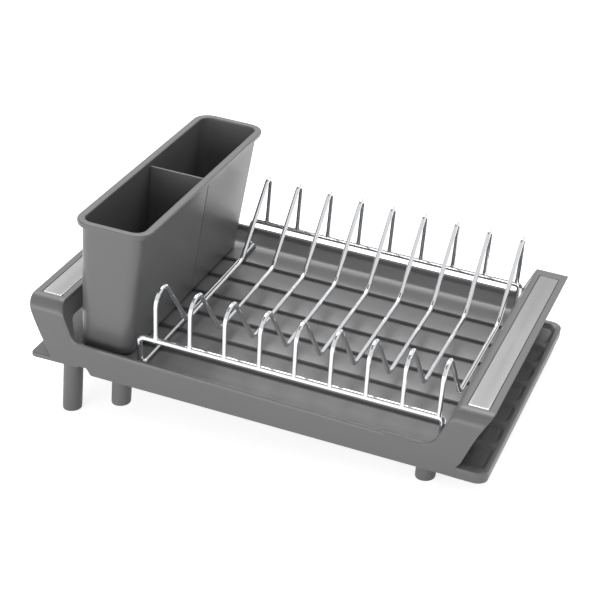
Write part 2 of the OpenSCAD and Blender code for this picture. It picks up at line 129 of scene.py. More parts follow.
def roundedLoop(u0, u1, v0, v1, radii, arcSteps=10, sideSteps=6, extra=()):
    # Rectangle with a quarter circle at each corner, anticlockwise from the low u, low v corner.
    # extra holds more places along v on the high u side.
    centres = [(u0, v0, 1, 1, 180), (u1, v0, -1, 1, 270), (u1, v1, -1, -1, 0), (u0, v1, 1, -1, 90)]
    out = []
    for k, (u, v, su, sv, start) in enumerate(centres):
        r = radii[k]
        a = np.radians(start + np.linspace(0, 90, arcSteps + 1))
        arc = np.stack([u + su * r + r * np.cos(a), v + sv * r + r * np.sin(a)], -1)
        out.append(arc)
        nu, nv, nsu, nsv, nstart = centres[(k + 1) % 4]
        nr = radii[(k + 1) % 4]
        b = math.radians(nstart)
        nextPoint = np.array([nu + nsu * nr + nr * math.cos(b), nv + nsv * nr + nr * math.sin(b)])
        t = np.linspace(0, 1, sideSteps + 1)[1:-1]
        if k == 1 and len(extra):
            span = nextPoint[1] - arc[-1][1]
            t = joined(t, (np.asarray(extra) - arc[-1][1]) / span)
        out.append(arc[-1] + t[:, None] * (nextPoint - arc[-1]))
    return np.concatenate(out)


def filletPath(corners, radii, steps=12):
    # Polyline whose inner corners become arcs tangent to both sides. An arc's centre lies on the
    # corner's bisector, at the radius over the sine of half its angle, and the arc touches the
    # sides at the radius over that half angle's tangent.
    pts = [np.asarray(corners[0], float)]
    for k in range(1, len(corners) - 1):
        a, b, c = (np.asarray(q, float) for q in corners[k - 1:k + 2])
        r = radii[k - 1]
        p, q = (a - b) / np.linalg.norm(a - b), (c - b) / np.linalg.norm(c - b)
        half = math.acos(np.clip(p @ q, -1, 1)) / 2
        centre = b + (p + q) / np.linalg.norm(p + q) * r / math.sin(half)
        first, last = b + p * r / math.tan(half), b + q * r / math.tan(half)
        x = (first - centre) / r
        y = (last - centre) - ((last - centre) @ x) * x
        y = y / np.linalg.norm(y)
        t = np.linspace(0, math.pi - 2 * half, steps + 1)[:, None]
        pts.extend(centre + r * (np.cos(t) * x + np.sin(t) * y))
    pts.append(np.asarray(corners[-1], float))
    return np.array(pts)


def tubeGrid(path, flat, radius, segments=20, swell=0.0, reach=1.0):
    # Circle carried along a flat path: its axes are the path's plane normal and that normal
    # crossed with the path's direction. swell widens both ends as a weld does, by a bell curve
    # of the distance over reach. The last rings shrink as a ball does, by sine and cosine.
    path = np.asarray(path, float)
    tangent = np.gradient(path, axis=0)
    tangent /= np.linalg.norm(tangent, axis=1, keepdims=True)
    flat = np.asarray(flat, float)
    side = np.cross(tangent, flat)
    run = np.concatenate([[0], np.cumsum(np.linalg.norm(np.diff(path, axis=0), axis=1))])
    r = radius * (1 + swell * (np.exp(-(run / reach) ** 2) + np.exp(-((run[-1] - run) / reach) ** 2)))
    a = np.linspace(0, 2 * math.pi, segments, endpoint=False)
    ring = np.cos(a)[None, :, None] * flat[None, None, :] + np.sin(a)[None, :, None] * side[:, None, :]
    grid = path[:, None, :] + ring * r[:, None, None]
    q = np.radians([80, 60, 40, 20])[:, None, None]
    head = path[0] + (ring[0][None] * np.cos(q) - tangent[0] * np.sin(q)) * r[0]
    tail = path[-1] + (ring[-1][None] * np.cos(q[::-1]) + tangent[-1] * np.sin(q[::-1])) * r[-1]
    return np.concatenate([head, grid, tail])


# Materials

def linear(hexColour):
    # sRGB hex to linear: the low part divided by 12.92, the rest by the 2.4 power curve.
    c = np.array([int(hexColour[k:k + 2], 16) for k in (1, 3, 5)]) / 255
    c = np.where(c <= 0.04045, c / 12.92, ((c + 0.055) / 1.055) ** 2.4)
    return (*[float(x) for x in c], 1.0)


def addNode(tree, kind, inputs=None, **settings):
    # One node with its settings; an input is a value or another node's output to link.
    node = tree.nodes.new(kind)
    for key, value in settings.items():
        setattr(node, key, value)
    for key, value in (inputs or {}).items():
        if isinstance(value, bpy.types.NodeSocket):
            tree.links.new(value, node.inputs[key])
        else:
            node.inputs[key].default_value = value
    return node


def tinted(colour, factor):
    # A linear colour made darker or lighter by a factor.
    return (*[c * factor for c in colour[:3]], 1.0)


def newMaterial(name):
    # A material whose node tree is still empty.
    material = bpy.data.materials.new(name)
    material.use_nodes = True
    tree = material.node_tree
    tree.nodes.clear()
    return material, tree


def mouldedPlastic(name, colour, rough=0.5, grain=0.9, depth=0.03, drift=0.05):
    # Injection-moulded ABS or polypropylene with a fine spark-eroded surface: an even mid grey,
    # a soft sheen and a faint mottle. The real grain is about 0.2 mm; it is drawn at 0.9 mm,
    # as coarse as it needs to be to show.
    material, tree = newMaterial(name)
    place = addNode(tree, "ShaderNodeTexCoord").outputs["Object"]
    fine = addNode(tree, "ShaderNodeTexNoise", {"Vector": place, "Scale": 1000 / grain, "Detail": 2.0})
    broad = addNode(tree, "ShaderNodeTexNoise", {"Vector": place, "Scale": 9.0, "Detail": 2.0})
    base = linear(colour)
    mottle = addNode(tree, "ShaderNodeMix", {
        "Factor": broad.outputs["Fac"], "A": tinted(base, 1 - drift), "B": tinted(base, 1 + drift)},
        data_type="RGBA")
    sheen = addNode(tree, "ShaderNodeMapRange", {
        "Value": fine.outputs["Fac"], "To Min": rough - 0.05, "To Max": rough + 0.05})
    bump = addNode(tree, "ShaderNodeBump", {
        "Height": fine.outputs["Fac"], "Strength": 0.35, "Distance": depth / 1000})
    shader = addNode(tree, "ShaderNodeBsdfPrincipled", {
        "Base Color": mottle.outputs["Result"], "Roughness": sheen.outputs["Result"],
        "IOR": 1.5, "Specular IOR Level": 0.5, "Normal": bump.outputs["Normal"]})
    addNode(tree, "ShaderNodeOutputMaterial", {"Surface": shader.outputs["BSDF"]})
    return material


def brushedSteel(name, colour, rough=0.3):
    # Stainless strip brushed along its length: fine lines along the handle that spread the
    # highlight across it. Real grit lines are 0.1 mm apart and are drawn 1 mm apart.
    material, tree = newMaterial(name)
    place = addNode(tree, "ShaderNodeTexCoord").outputs["Object"]
    turned = addNode(tree, "ShaderNodeMapping", {"Vector": place, "Scale": (1000.0, 4.0, 1000.0)})
    lines = addNode(tree, "ShaderNodeTexNoise", {
        "Vector": turned.outputs["Vector"], "Scale": 1.0, "Detail": 3.0})
    base = linear(colour)
    tone = addNode(tree, "ShaderNodeMix", {
        "Factor": lines.outputs["Fac"], "A": tinted(base, 0.985), "B": tinted(base, 1.015)},
        data_type="RGBA")
    spread = addNode(tree, "ShaderNodeMapRange", {
        "Value": lines.outputs["Fac"], "To Min": rough - 0.02, "To Max": rough + 0.02})
    bump = addNode(tree, "ShaderNodeBump", {
        "Height": lines.outputs["Fac"], "Strength": 0.02, "Distance": 0.00001})
    shader = addNode(tree, "ShaderNodeBsdfPrincipled", {
        "Base Color": tone.outputs["Result"], "Metallic": 1.0, "Roughness": spread.outputs["Result"],
        "Anisotropic": 0.2, "Normal": bump.outputs["Normal"]})
    addNode(tree, "ShaderNodeOutputMaterial", {"Surface": shader.outputs["BSDF"]})
    return material


def chromeWire(name, colour, rough=0.09):
    # Chrome plate over drawn steel wire: near mirror, with a slight draw-mark ripple of about
    # 2 mm that breaks up the reflections.
    material, tree = newMaterial(name)
    place = addNode(tree, "ShaderNodeTexCoord").outputs["Object"]
    ripple = addNode(tree, "ShaderNodeTexNoise", {"Vector": place, "Scale": 450.0, "Detail": 1.5})
    spread = addNode(tree, "ShaderNodeMapRange", {
        "Value": ripple.outputs["Fac"], "To Min": rough - 0.03, "To Max": rough + 0.05})
    bump = addNode(tree, "ShaderNodeBump", {
        "Height": ripple.outputs["Fac"], "Strength": 0.12, "Distance": 0.00003})
    shader = addNode(tree, "ShaderNodeBsdfPrincipled", {
        "Base Color": linear(colour), "Metallic": 1.0, "Roughness": spread.outputs["Result"],
        "Normal": bump.outputs["Normal"]})
    addNode(tree, "ShaderNodeOutputMaterial", {"Surface": shader.outputs["BSDF"]})
    return material


bodyPlastic = mouldedPlastic("mouldedAbsMidGrey", "#707071", rough=0.36)
holderPlastic = mouldedPlastic("mouldedPolypropyleneGrey", "#727273", rough=0.32)
trayPlastic = mouldedPlastic("mouldedAbsTrayGrey", "#717172", rough=0.42)
footPlastic = mouldedPlastic("mouldedFootGrey", "#6e6e6f", rough=0.5)
inlaySteel = brushedSteel("brushedStainlessStrip", "#959595")
wireChrome = chromeWire("chromePlatedWire", "#d8d9db")
print("materials made")

# Body shell: front wall, right handle, back wall and left handle as one closed band

shell = dict(
    wallLeft=12.9, wallRight=8.7, wallBack=16.7, wallLevel=36.0, wallTop=3.4, skirt=2.4, skirtDrop=15.7,
    stepStart=-153.0, stepEnd=-146.5, bend=13.0, bendBack=5.0, underTop=31.1, under=6.0, legTop=11.0,
    legLow=5.0, legHigh=11.5, innerTop=27.5, innerIn=5.5, fillet=12.0, edge=1.0, hollowWall=3.2,
    hollowHalf=126.0, hollowMore=0.06, recessHalf=128.0, recess=1.2, inlayMid=194.4, inlayWidth=18.2,
    gap=0.6, flat=0.4, wallEnd=170.0, cornerTop=3.0, cornerEdge=1.6, kneeLow=-5.0, kneeHigh=-1.1,
    kneeRadii=(0.3, 2.0, 1.5), innerShift=3.4, bow=2.2,
    meetEdge=0.2, meetReach=8.0, meetTop=-1.5,
    wallSteps=60, turnSteps=17, legSteps=12, bendSteps=13)


def wallTopAt(u, far=False):
    # The back wall is level. The front one is level near both ends, and goes straight from
    # the left height to the right one between.
    s = shell
    start = level["halfLen"] - s["wallLevel"]
    t = np.clip((np.asarray(u, float) + start) / (2 * start), 0, 1)
    return np.where(far, s["wallBack"], s["wallLeft"] + (s["wallRight"] - s["wallLeft"]) * t)


def outerEdge(w, side):
    # Straight lean of a handle's outer edge, bowed towards the left by 27/4 of the bow times
    # t squared times one less t, with t the share of the way up. The bow is greatest at t = 2/3.
    t = np.clip((np.asarray(w, float) + level["endDrop"]) / (level["gripTop"] + level["endDrop"]), 0, 1)
    return side * (gripOut - lean * (level["gripTop"] - w)) - 27 / 4 * shell["bow"] * t * t * (1 - t)


def skirtAt(u):
    # The shallow drop at the left eases into the deep one across the step.
    s = shell
    t = (np.asarray(u, float) - s["stepStart"]) / (s["stepEnd"] - s["stepStart"])
    return level["endDrop"] + (s["skirtDrop"] - level["endDrop"]) * smooth(t)


def shellSide(side, far):
    # Sections from the middle of a side wall to the middle of one handle (side is 1 or -1),
    # drawn at the front; far gives the back wall's height and its leg's tighter bend.
    # Each row holds outer and inner points (out, in) at the band's inner edge A and outer edge B.
    s = shell
    hd, hl, top = level["halfDepth"], level["halfLen"], level["gripTop"]
    rise = s["wallBack"] if far else s["wallRight"] if side > 0 else s["wallLeft"]
    bendR = s["bendBack"] if far else s["bend"]
    r = s["fillet"]
    foot = gripIn - lean * (top - rise)
    slope = math.atan2(1, lean)
    back = r / math.tan((math.pi - slope) / 2)
    centre = np.array([foot - back, rise + r])
    edgeAt = lambda w: hl + lean * (w + level["endDrop"])
    # wall, with more places across the skirt's step at the left
    ub = side * np.linspace(0, 1, s["wallSteps"]) * s["wallEnd"]
    if side < 0:
        ub = -np.sort(-joined(ub, np.linspace(s["stepStart"] - 1, s["stepEnd"] + 1, 14)))
    ua = ub * centre[0] / s["wallEnd"]
    wallA = np.stack([ua, wallTopAt(ua, far)], -1)
    wallB = np.stack([ub, -skirtAt(ub)], -1)
    tA = np.full(len(ua), s["wallTop"])
    tB = np.full(len(ua), s["skirt"])
    # fillet between the wall's top and the leg, and the leg's lower outer corner
    share = np.linspace(0, 1, s["turnSteps"])[1:]
    a = slope * share - math.pi / 2
    filA = np.stack([side * (centre[0] + r * np.cos(a)), centre[1] + r * np.sin(a)], -1)
    drop = s["skirtDrop"] if side > 0 else level["endDrop"]
    knee = [[hl, s["kneeLow"]], [edgeAt(s["kneeHigh"]), s["kneeHigh"]]] if side > 0 else []
    corner = [[s["wallEnd"], -drop], [hl, -drop], *knee, [edgeAt(s["cornerTop"]), s["cornerTop"]]]
    path = filletPath(corner, s["kneeRadii"] if side > 0 else [s["cornerEdge"]], steps=5)
    run = np.concatenate([[0], np.cumsum(np.linalg.norm(np.diff(path, axis=0), axis=1))])
    at = np.interp(share, np.linspace(0, 1, len(run)), run)
    filB = np.stack([side * np.interp(at, run, path[:, 0]), np.interp(at, run, path[:, 1])], -1)
    join = smooth((filB[:, 1] + level["endDrop"]) / (s["cornerTop"] + level["endDrop"]))
    filB[:, 0] += join * (outerEdge(filB[:, 1], side) - side * (gripOut - lean * (top - filB[:, 1])))
    thickFrom = max(rise, s["wallLeft"])
    legThick = lambda w: np.interp(w, [thickFrom, s["innerTop"]], [s["legLow"], s["legHigh"]])
    ease = smooth(share)
    tFa = s["wallTop"] + (legThick(filA[:, 1]) - s["wallTop"]) * ease
    tFb = s["skirt"] + (s["legLow"] - s["skirt"]) * ease
    # leg
    t = np.linspace(0, 1, s["legSteps"])[1:]
    bendLow = top - bendR
    startA, startB = filA[-1, 1], s["cornerTop"]
    wa = startA + t * (bendLow - startA)
    wb = startB + t * (bendLow - startB)
    legA = np.stack([side * (gripIn - lean * (top - wa)), wa], -1)
    legB = np.stack([outerEdge(wb, side), wb], -1)
    lowA = startA + t * (s["innerTop"] - startA)
    lowB = startB + t * (s["innerTop"] - startB)
    outA, outB = [np.insert(np.concatenate(flat), 1, -hd, axis=1)
                  for flat in ((wallA, filA, legA), (wallB, filB, legB))]
    inA = outA.copy()
    inB = outB.copy()
    inA[:, 1] += np.concatenate([tA, tFa, legThick(lowA)])
    inB[:, 1] += np.concatenate([tB, tFb, legThick(lowB)])
    legRows = slice(len(wallA) + len(filA), None)
    inA[legRows, 2], inB[legRows, 2] = lowA, lowB
    inA[legRows, 0] = side * (gripIn - lean * (top - lowA))
    inB[legRows, 0] = outerEdge(lowB, side)
    # bend and bar: the outer curve turns about one centre and the inner curve about another
    phi = np.linspace(math.pi / 2, 0, s["bendSteps"])[1:]
    ov = -(hd - bendR) - bendR * np.sin(phi)
    ow = top - bendR + bendR * np.cos(phi)
    touch = math.atan2(s["innerTop"] - (s["underTop"] - s["under"]), s["innerIn"])
    psi = math.pi / 2 - (math.pi / 2 - touch) * np.linspace(1, 0, s["bendSteps"])[1:]
    iv = -(hd - s["legTop"] - s["under"]) - s["under"] * np.cos(psi)
    iw = s["underTop"] - s["under"] + s["under"] * np.sin(psi)
    # places along the bar, with a pair close together where the recess ends; the inner rows lie
    # nearer to the middle
    even, pair = np.linspace(0, 120, 17), np.array([0, 0.05])
    barV = -joined(even, s["recessHalf"] - pair, s["hollowHalf"] - 0.1)[::-1]
    barInner = -joined(even, s["recessHalf"] - s["innerShift"] - pair, s["hollowHalf"] - 3.0)[::-1]
    ov = np.concatenate([ov, barV])
    ow = np.concatenate([ow, np.full(len(barV), top)])
    iv = np.concatenate([iv, barInner])
    iw = np.concatenate([iw, np.full(len(barInner), s["underTop"])])
    inner = lambda v, w: np.stack([side * (gripIn - lean * (top - w)), v, w], -1)
    outer = lambda v, w: np.stack([outerEdge(w, side), v, w], -1)
    outA = np.concatenate([outA, inner(ov, ow)])
    outB = np.concatenate([outB, outer(ov, ow)])
    inA = np.concatenate([inA, inner(iv, iw)])
    inB = np.concatenate([inB, outer(iv, iw)])
    bar = np.zeros(len(outA), bool)
    bar[-len(barV):] = True
    hollow = bar & (-outA[:, 1] < s["hollowHalf"])
    recess = bar & (-outA[:, 1] < s["recessHalf"] - 0.01)
    return outA, outB, inA, inB, hollow, recess


def shellGrid():
    # Both sides are set end to end for the front half, and the back half is turned over in v.
    # Each section is a rounded quadrilateral blended bilinearly between its four corners: x goes
    # across the band and y into it. The edges are tighter where the skirt meets the tray.
    s = shell
    front, back = [[np.concatenate([a[::-1], b[1:]])
                    for a, b in zip(shellSide(-1, far), shellSide(1, far))] for far in (False, True)]
    back = [h[::-1][1:-1].copy() for h in back]
    for k in range(4):
        back[k][:, 1] *= -1
    outA, outB, inA, inB, hollow, recess = [np.concatenate([h, b]) for h, b in zip(front, back)]
    across = np.linalg.norm(outB - outA, axis=1)
    depthA = np.linalg.norm(inA - outA, axis=1)
    depthB = np.linalg.norm(inB - outB, axis=1)
    r = np.minimum(s["edge"], 0.4 * np.minimum(depthA, depthB))
    meets = (outB[:, 0] > level["halfLen"] - s["meetReach"]) & (outB[:, 2] < s["meetTop"])
    r = np.where(meets, s["meetEdge"], r)
    rx, rya, ryb = r / across, r / depthA, r / depthB
    q = np.radians(np.linspace(0, 90, 5))
    width = level["gripWidth"]
    a0 = (s["inlayMid"] - s["inlayWidth"] / 2 - s["gap"] - gripIn) / width
    a1 = (s["inlayMid"] + s["inlayWidth"] / 2 + s["gap"] - gripIn) / width
    dip = np.where(recess, s["recess"] / depthA, 0.0)
    sunk = np.where(hollow, s["hollowWall"] / depthA + s["hollowMore"], 1.0)
    one = np.ones(len(r))
    flat = s["flat"] / across
    side = s["hollowWall"] / width
    xs, ys = [], []

    def put(x, y):
        xs.append(x * one)
        ys.append(y * one)

    for c in q:
        put(rx * (1 - math.sin(c)), rya * (1 - math.cos(c)))
    put(rx + flat, 0)
    put(a0, 0)
    put(a0, dip)
    put(a1, dip)
    put(a1, 0)
    put(1 - rx - flat, 0)
    for c in q:
        put(1 - rx * (1 - math.sin(c)), ryb * (1 - math.cos(c)))
    for c in q[::-1]:
        put(1 - rx * (1 - math.sin(c)), 1 - ryb * (1 - math.cos(c)))
    put(1 - rx - flat, 1)
    put(1 - side, 1)
    put(1 - side, sunk)
    put(side, sunk)
    put(side, 1)
    put(rx + flat, 1)
    for c in q:
        put(rx * (1 - math.sin(c)), 1 - rya * (1 - math.cos(c)))
    x, y = np.array(xs).T[..., None], np.array(ys).T[..., None]
    return ((1 - x) * (1 - y) * outA[:, None] + x * (1 - y) * outB[:, None]
            + x * y * inB[:, None] + (1 - x) * y * inA[:, None])


# Floor pan: strips and grooves, with the side walls' sloping inner faces

pan = dict(
    left=-170.0, right=185.6, top=1.5, thick=2.6, grooves=6, pitch=37.7, halfWidth=4.4, wall=0.8,
    depth=3.0, grooveStart=-160.0, grooveEnd=162.0, crown=1.1, crownEase=12.0, besideGroove=5.4,
    footIn=118.0, footOut=130.0, footRise=1.9, footFrom=103.0, edge=139.9, wallShort=1.2, cornerU=160.0,
    cornerV=106.0, ledge=12.2, ledgeWidth=0.9, lipOut=1.2, lipDrop=1.1, tongueOut=1.6, tongueLow=-8.2)


def panGrid():
    # Height: the floor level, less each strip's fall from its crown (a parabola) and each
    # groove's rounded trough, plus the foot's parabola and the slope up to the wall, by distance
    # from the middle. The left end turns down in a lip and a tongue over the apron.
    s = pan
    first = -(s["grooves"] - 1) / 2 * s["pitch"]
    centres = first + s["pitch"] * np.arange(s["grooves"])
    # places across, closest together at the grooves' walls
    wallSteps = s["halfWidth"] - s["wall"] + s["wall"] * np.linspace(-0.1, 1.1, 11)
    near = np.concatenate([[0, 1.5, 3.0], wallSteps, [5.3]])
    near = np.concatenate([-near[::-1], near])
    strip = np.linspace(-1, 1, 7) * (s["pitch"] / 2 - s["besideGroove"])
    foot = np.linspace(s["footFrom"], s["footOut"], 16)
    slope = np.linspace(s["footOut"], s["edge"], 7)
    v = joined((centres[:, None] + near).ravel(), (centres[:-1, None] + s["pitch"] / 2 + strip).ravel(),
               foot, -foot, slope, -slope, s["edge"] - s["ledgeWidth"] - np.array([0.2, 0]))
    turnIn, turnOut = s["grooveStart"] + 6, 150
    u = joined(np.linspace(s["left"], turnIn, 14), np.linspace(turnIn, turnOut, 50),
               np.linspace(turnOut, s["right"], 44))
    uu, vv = np.meshgrid(u, v, indexing="ij")
    past = np.maximum(0, uu - s["grooveEnd"]) + np.maximum(0, s["grooveStart"] - uu)
    dv = np.abs(vv[..., None] - centres).min(-1)
    far = np.hypot(dv, past)
    trough = 1 - smooth((far - (s["halfWidth"] - s["wall"])) / s["wall"])
    offStrip = np.clip((s["pitch"] / 2 - dv) / (s["pitch"] / 2 - s["halfWidth"]), 0, 1)
    inner = np.abs(vv) < abs(first) + s["pitch"] / 2
    crowned = inner | (dv < s["halfWidth"] + 1)
    fall = s["crown"] * np.where(crowned, offStrip ** 2, 0.0) * smooth(1 - past / s["crownEase"])
    reach = np.abs(vv)
    turn = np.maximum(0, uu - s["cornerU"])
    deep = np.maximum(0, reach - s["cornerV"])
    out = np.where(turn > 0, s["cornerV"] + np.hypot(turn, deep), reach)
    out = np.where((turn > 0) & (reach < s["cornerV"]), s["cornerV"] + turn, out)
    behind = vv > 0
    wall = np.where(behind, s["ledge"], wallTopAt(uu) - s["wallShort"])
    rise = s["footRise"] * np.clip((out - s["footIn"]) / (s["footOut"] - s["footIn"]), 0, 1) ** 2
    rim = np.where(behind, s["edge"] - s["ledgeWidth"], s["edge"])
    climb = np.clip((out - s["footOut"]) / (rim - s["footOut"]), 0, 1)
    w = s["top"] - fall - s["depth"] * trough + rise + climb * (wall - s["top"] - s["footRise"])
    tongue = np.stack([uu[:1] - s["tongueOut"], vv[:1], np.full_like(w[:1], s["tongueLow"])], -1)
    lip = np.stack([uu[:1] - s["lipOut"], vv[:1], w[:1] - s["lipDrop"]], -1)
    over = np.concatenate([tongue, lip, np.stack([uu, vv, w], -1)])
    under = over.copy()
    under[2:, :, 2] -= s["thick"]
    under[:2, :, 0] += s["thick"]
    return over, under


def closedSheet(over, under):
    # The top rows go out and the bottom rows come back, so the section is a closed ring.
    return np.concatenate([over, under[::-1]])


# Left apron: a plate with rounded outer corners and a turned-down edge

apron = dict(left=-207.0, right=-160.0, radius=5.0, innerRadius=0.6, top=-6.5, edgeTop=-7.5, shy=0.05)


def apronRings():
    # Rounded-rectangle loops at given insets and heights, from the top's middle round the
    # edge to the underside's middle; the top falls evenly towards the outer edge.
    s = apron
    hd = level["halfDepth"] - s["shy"]
    profile = [(16, 0), (6, 0), (2.2, 0), (1.3, -0.05), (0.6, -0.35), (0.15, -0.9), (0, -1.6), (0, -3.9),
               (0.25, -4.3), (0.7, -4.45), (2.2, -4.4), (2.8, -4.2), (3.2, -3.4), (6, -3.0), (16, -3.0)]
    rings = []
    for inset, dz in profile:
        small = s["innerRadius"]
        outer = max(s["radius"] - inset, small)
        loop = roundedLoop(s["left"] + inset, s["right"] - min(inset, 1.0), -hd + inset, hd - inset,
                           [outer, small, small, outer], arcSteps=8, sideSteps=8)
        share = (loop[:, 0] - s["left"]) / (s["right"] - s["left"])
        rings.append(np.column_stack([loop, s["edgeTop"] + (s["top"] - s["edgeTop"]) * share + dz]))
    return np.array(rings)


print("shell, pan and apron")
over, under = panGrid()
makePiece("bodyShell", [
    (toRow(shellGrid()), True, True, False),
    (toRow(closedSheet(over, under)), True, False, False),
    (toRow(apronRings()), False, True, True)], bodyPlastic, "upper_body", ["body"])


# Inlays

inlaySet = dict(
    mid=194.4, width=18.2, half=127.7, thick=1.1, top=47.1, radius=1.7, edge=0.3, bevel=0.25,
    bevelLength=2.5)


def inlayRings(side):
    # Loops of a thin plate with a small rounded edge, from its underside up and over its top.
    # Each end falls by a parabola over the bevel's length.
    s = inlaySet
    rows = []
    for inset, w in [(0.5, -s["thick"]), (0, -s["thick"] + 0.2), (0, -s["edge"]), (0.09, -0.09),
                     (s["edge"], 0), (0.7, 0), (1.3, 0), (1.9, 0), (2.5, 0), (3.2, 0)]:
        u0, u1 = s["mid"] - s["width"] / 2 + inset, s["mid"] + s["width"] / 2 - inset
        loop = roundedLoop(u0, u1, -s["half"] + inset, s["half"] - inset,
                           [max(s["radius"] - inset, 0.2)] * 4, arcSteps=5, sideSteps=12)
        past = np.abs(loop[:, 1]) - s["half"] + s["bevelLength"]
        down = s["bevel"] * np.clip(past / s["bevelLength"], 0, 1) ** 2
        high = s["top"] + w - down * (w > -s["edge"])
        rows.append(np.column_stack([side * loop[:, 0], loop[:, 1], high]))
    return np.array(rows)


for side, word in ((-1, "left"), (1, "right")):
    makePiece(word + "Inlay", [(toRow(inlayRings(side)), False, True, True)], inlaySteel, "upper_body",
              ["inlay_" + word])
print("inlays")

# Feet

footSet = dict(radius=8.9, inset=17.0, segments=48, under=0.3)


def footGrid(u, v, drop, low):
    # Circle carried square to the underside. Each ring but the last two is cut level at its
    # height over the counter: w is height less floor height plus u times the tilt's sine,
    # over its cosine.
    s = footSet
    t = math.radians(level["tilt"])
    a = np.linspace(0, 2 * math.pi, s["segments"], endpoint=False)
    rows = []
    for r, z in [(0.0, 0.5), (0.68, 0.5), (0.72, 0.0), (0.88, 0.0), (0.935, 0.25), (0.965, 0.8),
                 (0.98, 1.7), (0.985, 4.0), (0.99, 9.0)]:
        ring = s["radius"] * r
        x, y = u + ring * np.cos(a), v + ring * np.sin(a)
        w = (low + z - level["floorHeight"] + x * math.sin(t)) / math.cos(t)
        rows.append(np.stack([x, y, w], -1))
    high = np.full(len(a), s["under"] - drop)
    for r in (s["radius"], 0.0):
        rows.append(np.stack([u + r * np.cos(a), v + r * np.sin(a), high], -1))
    return toRow(np.array(rows))


# Place along the length, underside's depth, height over the counter and body
footPlaces = dict(
    body_foot=(-172.5, 9.5, 0.0, "upper_body"), tray_foot_left=(-124.5, 16.4, 15.4, "tray_body"),
    tray_foot_right=(158.5, 16.4, 0.0, "tray_body"))
for key, (u, drop, low, body) in footPlaces.items():
    for side, word in ((-1, "front"), (1, "back")):
        v = side * (level["halfDepth"] - footSet["inset"])
        makePiece(key.replace("_", "-") + "-" + word, [(footGrid(u, v, drop, low), False, True, False)],
                  footPlastic, body, [key + "_" + word])
print("feet")

# Tray

traySet = dict(
    left=-145.5, right=213.0, wideFrom=186.55, narrow=140.0, wide=143.0, radius=11.0, rim=4.0,
    top=-5.5, ridgeTop=-6.3, channel=-9.9, low=-16.4, pitch=37.7, channels=7, ridge=3.0,
    channelRadius=9.0, wall=4.2, ridgeEase=1.2, edge=1.5, under=-13.7, sideHigh=-9.0)


def trayParts():
    # Top height: the rim level, the ridges a little lower, and each channel's floor under a
    # rounded rectangle's distance, less a quarter circle at the edge. Side and underside rings
    # follow the top's own border.
    s = traySet
    lines = s["pitch"] * (np.arange(s["channels"] - 1) - (s["channels"] - 2) / 2)
    # places across, closest together at the ridges, and along, closest at the right end
    near = np.array([0.9, 1.5, 2.0, 2.6, 3.4, 4.2, 5, 6])
    near = np.concatenate([-near[::-1], [0], near])
    outer = np.linspace(125, 136, 9)
    fixed = joined((lines[:, None] + near).ravel(), np.linspace(-125, 125, 29), outer, -outer,
                   [-137.6, 137.6, 0])
    leftEnd = s["left"] + 16
    u = joined(np.linspace(s["left"], leftEnd, 12), np.linspace(leftEnd, 184, 20),
               s["wideFrom"] - 0.05, s["wideFrom"], np.linspace(188, s["right"] - 2, 26),
               s["right"] - np.array([1.2, 0.5, 0.12, 0]))
    over = np.maximum(0, u - (s["right"] - s["radius"]))
    half = np.where(u < s["wideFrom"] - 0.01, s["narrow"], s["wide"])
    half = half - s["radius"] + np.sqrt(np.maximum(s["radius"] ** 2 - over ** 2, 0))
    half = half[:, None]
    edges = np.array([1.6, 0.9, 0.4, 0.1, 0.0])[None, :]
    inner = np.clip(fixed[None, :], -half + 1.7, half - 1.7)
    vv = np.concatenate([edges[:, ::-1] - half, inner, half - edges], 1)
    uu = np.repeat(u[:, None], vv.shape[1], 1)
    v0 = np.concatenate([[-s["narrow"] + s["rim"]], lines + s["ridge"] / 2])
    v1 = np.concatenate([lines - s["ridge"] / 2, [s["narrow"] - s["rim"]]])
    c0, c1 = s["left"] + s["rim"], s["right"] - s["rim"]
    r = s["channelRadius"]
    qu = np.maximum(np.abs(uu - (c0 + c1) / 2) - (c1 - c0) / 2 + r, 0)[..., None]
    qv = np.maximum(np.abs(vv[..., None] - (v0 + v1) / 2) - (v1 - v0) / 2 + r, 0)
    inside = (r - np.hypot(qu, qv)).max(-1)
    well = smooth(inside / s["wall"])
    rimIn = s["narrow"] - s["rim"] - np.abs(vv)
    ridges = np.prod([smooth(d / s["ridgeEase"]) for d in (rimIn, c1 - uu, uu - c0)], 0)
    w = s["top"] + (s["ridgeTop"] - s["top"]) * ridges * (1 - well) + (s["channel"] - s["top"]) * well
    edgeIn = np.minimum(half - np.abs(vv), np.minimum(s["right"] - uu, uu - s["left"]))
    w = w - s["edge"] + np.sqrt(np.maximum(s["edge"] ** 2 - np.maximum(s["edge"] - edgeIn, 0) ** 2, 0))
    top = np.stack([uu, vv, w], -1)
    border = np.concatenate([top[0], top[1:, -1], top[-1, ::-1][1:], top[::-1, 0][1:-1]])
    rings = [border]
    halfAt = np.interp(border[:, 0], u, half[:, 0])
    for inset, height in [(0, s["sideHigh"]), (0, s["low"] + 1.4), (0.25, s["low"] + 0.6),
                          (0.9, s["low"] + 0.1), (1.6, s["low"]), (3.6, s["low"]),
                          (4.0, s["low"] + 0.3), (4.2, s["under"]), (9.0, s["under"])]:
        ring = border.copy()
        ring[:, 0] = np.clip(ring[:, 0], s["left"] + inset, s["right"] - inset)
        ring[:, 1] = np.clip(ring[:, 1], -halfAt + inset, halfAt - inset)
        ring[:, 2] = height
        rings.append(ring)
    return top, np.array(rings)


top, rings = trayParts()
middleRow = rings[-1:] * [1, 0, 1]
makePiece("extensionTray", [
    (toRow(top), False, False, False), (toRow(np.concatenate([rings, middleRow])), False, True, False)],
    trayPlastic, "tray_body", ["tray"])
print("tray")

# Plate rack

